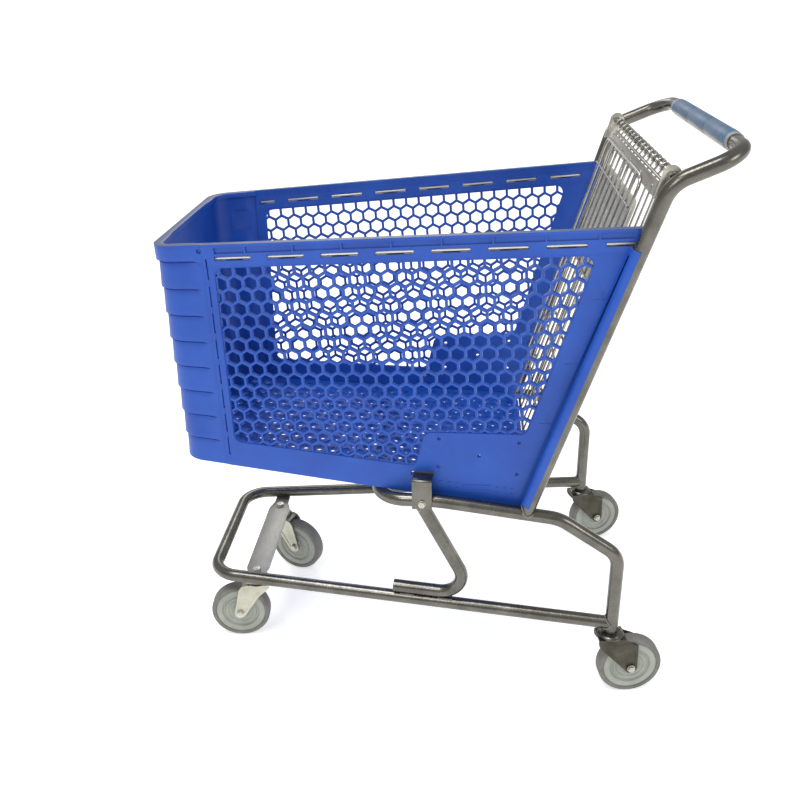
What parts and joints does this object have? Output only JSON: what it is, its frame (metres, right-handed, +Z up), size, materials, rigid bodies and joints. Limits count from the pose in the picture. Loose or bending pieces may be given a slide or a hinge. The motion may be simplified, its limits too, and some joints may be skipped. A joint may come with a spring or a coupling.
{
  "type": "shopping cart",
  "caption": "Shopping cart with a moulded plastic basket on a bent-tube chassis, a swinging wire gate with a folding child seat, and swivel casters.",
  "frame": {"origin": "on the ground plane, under the middle of the bounding box", "axes": "-X towards the nose, +X towards the shopper, +Y to the shopper's right, +Z up"},
  "size_m": [0.9794, 0.6286, 1.0712],
  "materials": {
    "satin_steel": "satin, lightly worn bare-looking tube",
    "zinc_plate": "pale zinc plate",
    "bright_wire": "bright drawn wire",
    "blue_plastic": "moulded royal blue, satin, with worn pale edges",
    "grip_plastic": "grey-blue moulded sleeve",
    "seat_plastic": "pale beige moulding",
    "hub_plastic": "grey moulded nylon",
    "tyre_rubber": "grey solid rubber"
  },
  "bodies": {
    "frame": {"base_rail": "satin_steel", "chassis_rail": "satin_steel", "brace_left": "satin_steel", "brace_right": "satin_steel", "handle_tube": "satin_steel", "caster_plate": "satin_steel", "gate_lug_left": "satin_steel", "gate_lug_right": "satin_steel", "basket_clip_left": "satin_steel", "basket_clip_right": "satin_steel", "clip_bolt_left": "zinc_plate", "clip_bolt_right": "zinc_plate", "caster_cup_rear_left": "satin_steel", "king_bolt_rear_left": "zinc_plate", "caster_cup_rear_right": "satin_steel", "king_bolt_rear_right": "zinc_plate", "caster_cup_front_left": "satin_steel", "king_bolt_front_left": "zinc_plate", "caster_cup_front_right": "satin_steel", "king_bolt_front_right": "zinc_plate", "gate_rod": "bright_wire", "rim_rod_left": "bright_wire", "rim_rod_right": "bright_wire", "basket_side_left": "blue_plastic", "basket_side_right": "blue_plastic", "basket_front": "blue_plastic", "basket_floor": "blue_plastic", "handle_grip": "grip_plastic", "grip_end_left": "grip_plastic", "grip_end_right": "grip_plastic"},
    "gate": {"wire_gate": "bright_wire", "gate_strip": "zinc_plate", "seat_hinge_left": "satin_steel", "seat_hinge_right": "satin_steel", "flap_hinge_left": "satin_steel", "flap_hinge_right": "satin_steel", "seat_flap_rod": "bright_wire"},
    "seat_back": {"seat_back": "bright_wire"},
    "seat_flap": {"seat_flap": "seat_plastic"},
    "caster_rear_left": {"fork_rear_left": "satin_steel", "axle_bolt_rear_left": "zinc_plate"},
    "wheel_rear_left": {"hub_rear_left": "hub_plastic", "tyre_rear_left": "tyre_rubber"},
    "caster_rear_right": {"fork_rear_right": "satin_steel", "axle_bolt_rear_right": "zinc_plate"},
    "wheel_rear_right": {"hub_rear_right": "hub_plastic", "tyre_rear_right": "tyre_rubber"},
    "caster_front_left": {"fork_front_left": "zinc_plate", "axle_bolt_front_left": "zinc_plate"},
    "wheel_front_left": {"hub_front_left": "hub_plastic", "tyre_front_left": "tyre_rubber"},
    "caster_front_right": {"fork_front_right": "zinc_plate", "axle_bolt_front_right": "zinc_plate"},
    "wheel_front_right": {"hub_front_right": "hub_plastic", "tyre_front_right": "tyre_rubber"}
  },
  "joints": [
    {"name": "gate_swing", "type": "hinge", "parent": "frame", "child": "gate", "pos_m": [0.366, 0, 1.02], "axis": [0, 1, 0], "range_deg": [0, 65]},
    {"name": "seat_open", "type": "hinge", "parent": "gate", "child": "seat_back", "pos_m": [0.19453, 0, 0.53925], "axis": [0, -1, 0], "range_deg": [0, 42]},
    {"name": "flap_fold", "type": "hinge", "parent": "gate", "child": "seat_flap", "pos_m": [0.28438, 0, 0.78358], "axis": [0, -1, 0], "range_deg": [0, 108]},
    {"name": "swivel_rear_left", "type": "hinge", "parent": "frame", "child": "caster_rear_left", "pos_m": [0.346, -0.27, 0.134], "axis": [0, 0, 1], "continuous": true},
    {"name": "spin_rear_left", "type": "hinge", "parent": "caster_rear_left", "child": "wheel_rear_left", "pos_m": [0.38691, -0.26432, 0.0625], "axis": [-0.1374, 0.9905, 0], "continuous": true},
    {"name": "swivel_rear_right", "type": "hinge", "parent": "frame", "child": "caster_rear_right", "pos_m": [0.346, 0.27, 0.134], "axis": [0, 0, 1], "continuous": true},
    {"name": "spin_rear_right", "type": "hinge", "parent": "caster_rear_right", "child": "wheel_rear_right", "pos_m": [0.38584, 0.2809, 0.0625], "axis": [-0.2639, 0.9646, 0], "continuous": true},
    {"name": "swivel_front_left", "type": "hinge", "parent": "frame", "child": "caster_front_left", "pos_m": [-0.379, -0.131, 0.134], "axis": [0, 0, 1], "continuous": true},
    {"name": "spin_front_left", "type": "hinge", "parent": "caster_front_left", "child": "wheel_front_left", "pos_m": [-0.42016, -0.13446, 0.0625], "axis": [0.0837, -0.9965, 0], "continuous": true},
    {"name": "swivel_front_right", "type": "hinge", "parent": "frame", "child": "caster_front_right", "pos_m": [-0.379, 0.131, 0.134], "axis": [0, 0, 1], "continuous": true},
    {"name": "spin_front_right", "type": "hinge", "parent": "caster_front_right", "child": "wheel_front_right", "pos_m": [-0.34007, 0.11721, 0.0625], "axis": [0.3338, 0.9426, 0], "continuous": true}
  ],
  "couplings": [
    {"joint": "flap_fold", "follows": "seat_open", "ratio": 2.5714}
  ]
}
